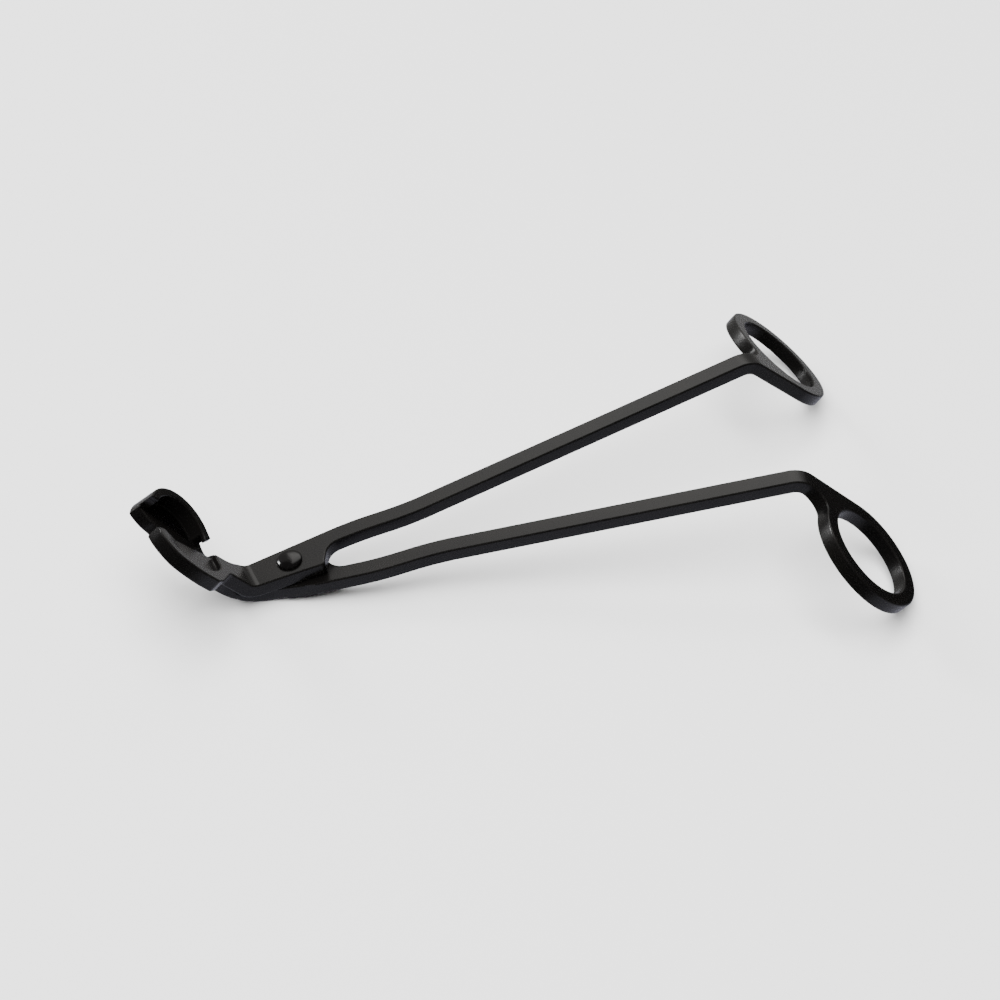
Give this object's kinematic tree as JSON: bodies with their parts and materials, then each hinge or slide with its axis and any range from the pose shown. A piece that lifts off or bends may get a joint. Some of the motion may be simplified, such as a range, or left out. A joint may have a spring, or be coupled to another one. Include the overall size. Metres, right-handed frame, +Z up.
{
  "type": "wick trimmer",
  "caption": "Scissor-type candle wick trimmer: two crossed levers on a rivet, bent-up round cutting head with a catching tray, bent-down finger rings.",
  "frame": {"origin": "centre of the bounding box, on the surface that the trimmer rests on", "axes": "+X from the pivot to the finger rings, +Z up, the upper lever's ring on the +Y side"},
  "size_m": [0.176, 0.0948, 0.0324],
  "materials": {
    "coated_steel": "satin black coating",
    "rivet_steel": "satin black coating, polished dome"
  },
  "bodies": {
    "lower": {"lever_lower": "coated_steel", "pivot_rivet": "rivet_steel"},
    "upper": {"lever_upper": "coated_steel"}
  },
  "joints": [
    {"name": "pivot", "type": "hinge", "parent": "upper", "child": "lower", "pos_m": [-0.0524, 0.0011, 0.00684], "axis": [-0.1742, 0.0671, 0.9824], "range_deg": [-30, 15.6]}
  ]
}
